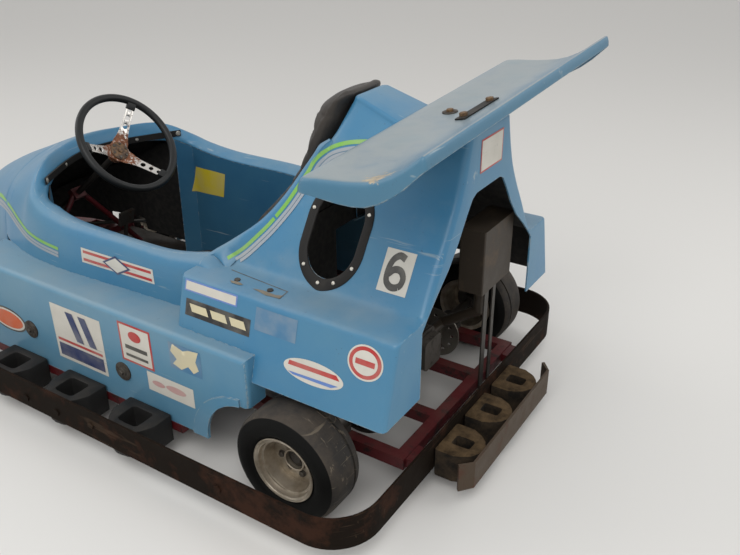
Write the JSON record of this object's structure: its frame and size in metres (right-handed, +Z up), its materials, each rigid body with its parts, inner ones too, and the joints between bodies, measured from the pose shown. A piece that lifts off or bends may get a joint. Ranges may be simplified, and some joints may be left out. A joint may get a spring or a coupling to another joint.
{
  "type": "racing kart",
  "caption": "Single-seat racing kart with a moulded light blue body, tall rear cowl carrying a curved wing, open cockpit, slick tyres and an all-round steel bumper band with rubber blocks.",
  "frame": {"origin": "on the ground under the middle of the kart's bounding box", "axes": "+X forward, +Y to the driver's left, +Z up"},
  "size_m": [2.15, 1.182, 0.9816],
  "materials": {
    "black_trim": "black",
    "body_paint": "faded light blue moulded shell",
    "bumper_rubber": "worn black rubber",
    "bumper_steel": "rusted dark flat steel",
    "chrome_spoke": "worn chrome",
    "engine_metal": "oily dark metal",
    "frame_red": "dark red paint",
    "grip": "black moulded grip",
    "plain_steel": "worn plated steel",
    "rim_metal": "bright cast",
    "seat_vinyl": "worn dark vinyl",
    "silencer_sheet": "heat stained sheet",
    "tyre_rubber": "slick tyre"
  },
  "bodies": {
    "chassis": {"axle_bearings": "frame_red", "body_front": "body_paint", "body_pod_left": "body_paint", "body_pod_right": "body_paint", "bumper_band": "bumper_steel", "chain": "plain_steel", "cockpit_liner": "body_paint", "column_support": "frame_red", "cowl": "body_paint", "end_plates": "bumper_steel", "end_rubbers": "bumper_rubber", "engine_block": "engine_metal", "engine_cylinder": "engine_metal", "exhaust_pipe": "silencer_sheet", "floor_pan": "plain_steel", "frame": "frame_red", "front_beam": "frame_red", "out_rails": "frame_red", "pedals": "plain_steel", "rear_wing": "body_paint", "seat_back": "seat_vinyl", "seat_base": "seat_vinyl", "side_box_left": "body_paint", "side_box_right": "body_paint", "side_rubbers": "bumper_rubber", "silencer_box": "silencer_sheet", "silencer_struts": "silencer_sheet", "window_trims": "black_trim", "wing_mounts": "plain_steel"},
    "rear_wheels": {"rear_axle": "plain_steel", "sprocket": "plain_steel", "brake_disc": "plain_steel", "rim_rear": "rim_metal", "tyre_rear": "tyre_rubber"},
    "left_knuckle": {"knuckle_left": "plain_steel"},
    "right_knuckle": {"knuckle_right": "plain_steel"},
    "left_front_wheel": {"rim_front_left": "rim_metal", "tyre_front_left": "tyre_rubber"},
    "right_front_wheel": {"rim_front_right": "rim_metal", "tyre_front_right": "tyre_rubber"},
    "left_tie_rod": {"tie_rod_left": "plain_steel"},
    "right_tie_rod": {"tie_rod_right": "plain_steel"},
    "steering": {"steering_wheel_rim": "grip", "steering_hub": "chrome_spoke", "steering_column": "plain_steel"}
  },
  "joints": [
    {"name": "rear_axle_spin", "type": "hinge", "parent": "chassis", "child": "rear_wheels", "pos_m": [-0.73, 0, 0.143], "axis": [0, 1, 0], "continuous": true},
    {"name": "steer", "type": "hinge", "parent": "chassis", "child": "steering", "pos_m": [0.224, 0, 0.6055], "axis": [-0.788, 0, 0.6157], "range_deg": [-55, 55]},
    {"name": "left_kingpin", "type": "hinge", "parent": "chassis", "child": "left_knuckle", "pos_m": [0.65, 0.345, 0.13], "axis": [0, 0, 1], "range_deg": [-25, 25]},
    {"name": "left_front_spin", "type": "hinge", "parent": "left_knuckle", "child": "left_front_wheel", "pos_m": [0.65, 0.45, 0.13], "axis": [0, 1, 0], "continuous": true},
    {"name": "left_rod_pin", "type": "hinge", "parent": "left_knuckle", "child": "left_tie_rod", "pos_m": [0.56, 0.345, 0.14], "axis": [0, 0, 1], "range_deg": [-25, 25]},
    {"name": "right_kingpin", "type": "hinge", "parent": "chassis", "child": "right_knuckle", "pos_m": [0.65, -0.345, 0.13], "axis": [0, 0, 1], "range_deg": [-25, 25]},
    {"name": "right_front_spin", "type": "hinge", "parent": "right_knuckle", "child": "right_front_wheel", "pos_m": [0.65, -0.45, 0.13], "axis": [0, 1, 0], "continuous": true},
    {"name": "right_rod_pin", "type": "hinge", "parent": "right_knuckle", "child": "right_tie_rod", "pos_m": [0.56, -0.345, 0.14], "axis": [0, 0, 1], "range_deg": [-25, 25]}
  ],
  "couplings": [
    {"joint": "left_kingpin", "follows": "steer", "ratio": 0.45},
    {"joint": "right_kingpin", "follows": "steer", "ratio": 0.45},
    {"joint": "left_rod_pin", "follows": "steer", "ratio": -0.45},
    {"joint": "right_rod_pin", "follows": "steer", "ratio": -0.45}
  ]
}
